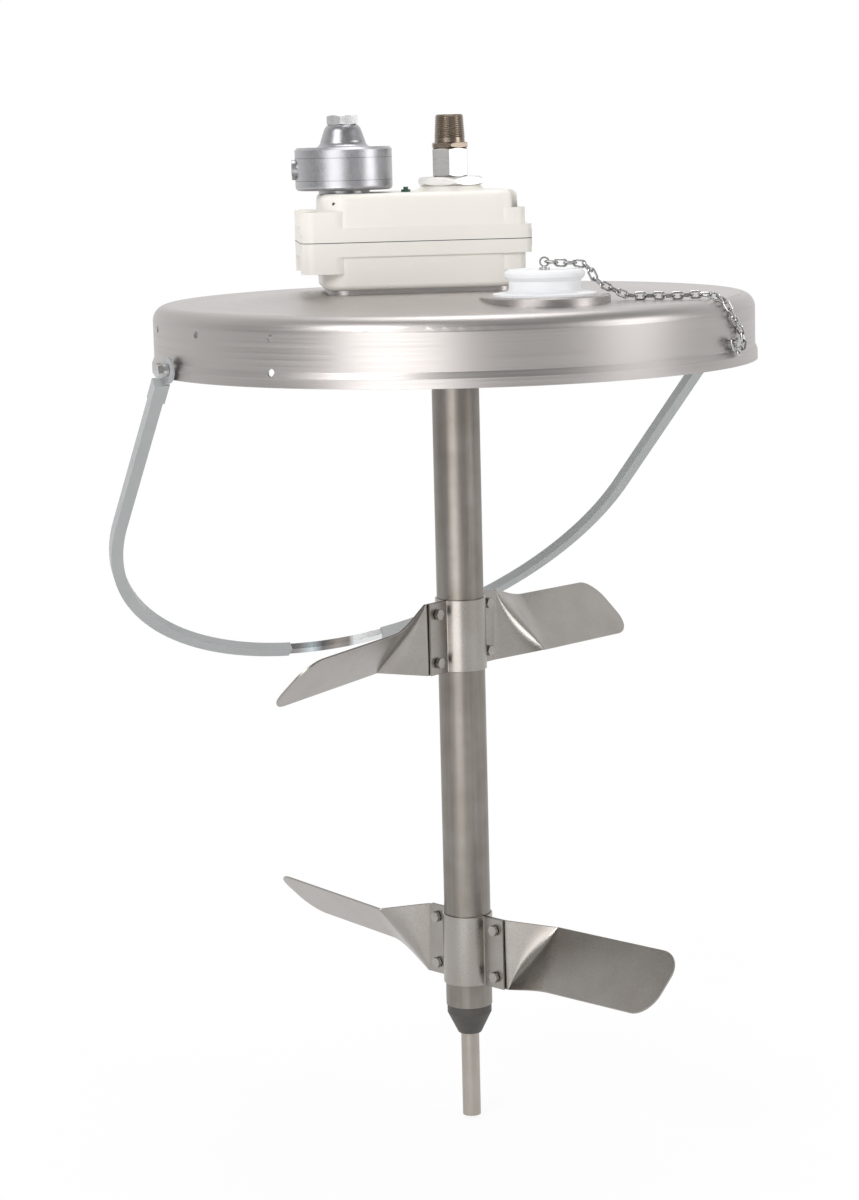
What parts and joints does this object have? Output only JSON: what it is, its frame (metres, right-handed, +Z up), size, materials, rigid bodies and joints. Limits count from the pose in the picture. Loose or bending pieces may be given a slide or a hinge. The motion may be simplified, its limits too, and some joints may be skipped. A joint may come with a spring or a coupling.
{
  "type": "tank agitator",
  "caption": "Back-geared air agitator on a stainless drum cover, with a siphon tube, propeller sets, a bail handle and a capped fill port on a chain.",
  "frame": {"origin": "on the shaft axis, at the underside of the cover's flat seat land, which rests on the drum's chime", "axes": "+Z up along the agitator shaft, away from the drum; +X along the gearbox from the air motor to the shaft"},
  "size_m": [0.6635, 0.7062, 1.0432],
  "materials": {
    "cover_steel": "satin",
    "blade_steel": "satin",
    "shaft_steel": "satin",
    "fitting_steel": "satin",
    "nipple_steel": "satin",
    "gear_steel": "satin",
    "zinc": "bright zinc",
    "black_steel": "black oxide",
    "housing_paint": "satin",
    "motor_aluminium": "cast",
    "bail_paint": "satin",
    "cap_plastic": "satin",
    "plug_plastic": "satin",
    "bushing_plastic": "matt",
    "vane_plastic": "matt",
    "gasket": "matt",
    "seal_rubber": "matt"
  },
  "bodies": {
    "frame": {"drum_cover": "cover_steel", "mounting_pad": "cover_steel", "cover_bolts": "zinc", "fill_collar": "cover_steel", "chain": "zinc", "chain_screw": "zinc", "gear_housing_lower": "housing_paint", "gear_housing_upper": "housing_paint", "housing_gasket": "gasket", "housing_screws": "black_steel", "vent_plug": "plug_plastic", "spindle_bearing_outers": "gear_steel", "idler_bearing_outers": "gear_steel", "motor_bearing_outers": "gear_steel", "shaft_seal": "seal_rubber", "siphon_tube": "shaft_steel", "siphon_nut": "fitting_steel", "siphon_coupling": "fitting_steel", "outlet_nipple": "nipple_steel", "motor_lower_plate": "motor_aluminium", "motor_mount_screws": "black_steel", "motor_cylinder": "motor_aluminium", "motor_upper_plate": "motor_aluminium", "motor_screws": "zinc", "motor_bearing_cap": "motor_aluminium", "pivot_bolts": "zinc", "pivot_nuts": "zinc", "pivot_bosses": "cover_steel"},
    "agitator": {"output_spindle": "shaft_steel", "agitator_tube": "shaft_steel", "tube_bushing": "bushing_plastic", "output_gear": "gear_steel", "spindle_spacer": "gear_steel", "spindle_bearing_inners": "gear_steel", "upper_blade_front": "blade_steel", "upper_blade_rear": "blade_steel", "lower_blade_front": "blade_steel", "lower_blade_rear": "blade_steel", "clamp_screws": "fitting_steel", "clamp_nuts": "fitting_steel"},
    "idler": {"idler_shaft": "gear_steel", "idler_gear": "gear_steel", "idler_pinion": "gear_steel", "idler_bearing_inners": "gear_steel"},
    "rotor": {"motor_shaft": "gear_steel", "motor_pinion": "gear_steel", "motor_rotor": "gear_steel", "motor_vanes": "vane_plastic", "motor_bearing_inners": "gear_steel"},
    "bail": {"bail_channel_left": "bail_paint", "bail_channel_right": "bail_paint", "bail_grip": "zinc", "bail_ears": "bail_paint"},
    "cap": {"fill_cap": "cap_plastic", "cap_o_ring": "seal_rubber", "cap_eye": "zinc"}
  },
  "joints": [
    {"name": "agitator_spin", "type": "hinge", "parent": "frame", "child": "agitator", "pos_m": [0, 0, 0], "axis": [0, 0, 1], "continuous": true},
    {"name": "idler_spin", "type": "hinge", "parent": "frame", "child": "idler", "pos_m": [-0.0607, 0.01265, 0], "axis": [0, 0, 1], "continuous": true},
    {"name": "motor_spin", "type": "hinge", "parent": "frame", "child": "rotor", "pos_m": [-0.107, 0, 0], "axis": [0, 0, 1], "continuous": true},
    {"name": "bail_swing", "type": "hinge", "parent": "frame", "child": "bail", "pos_m": [0, 0, -0.055], "axis": [0.9361, 0.3518, 0], "range_deg": [-40, 132]},
    {"name": "cap_lift", "type": "slide", "parent": "frame", "child": "cap", "axis": [0, 0, 1], "range_m": [0, 0.045], "deforming": ["chain"]}
  ],
  "couplings": [
    {"joint": "idler_spin", "follows": "agitator_spin", "ratio": -3.4286},
    {"joint": "motor_spin", "follows": "agitator_spin", "ratio": 10.286}
  ]
}
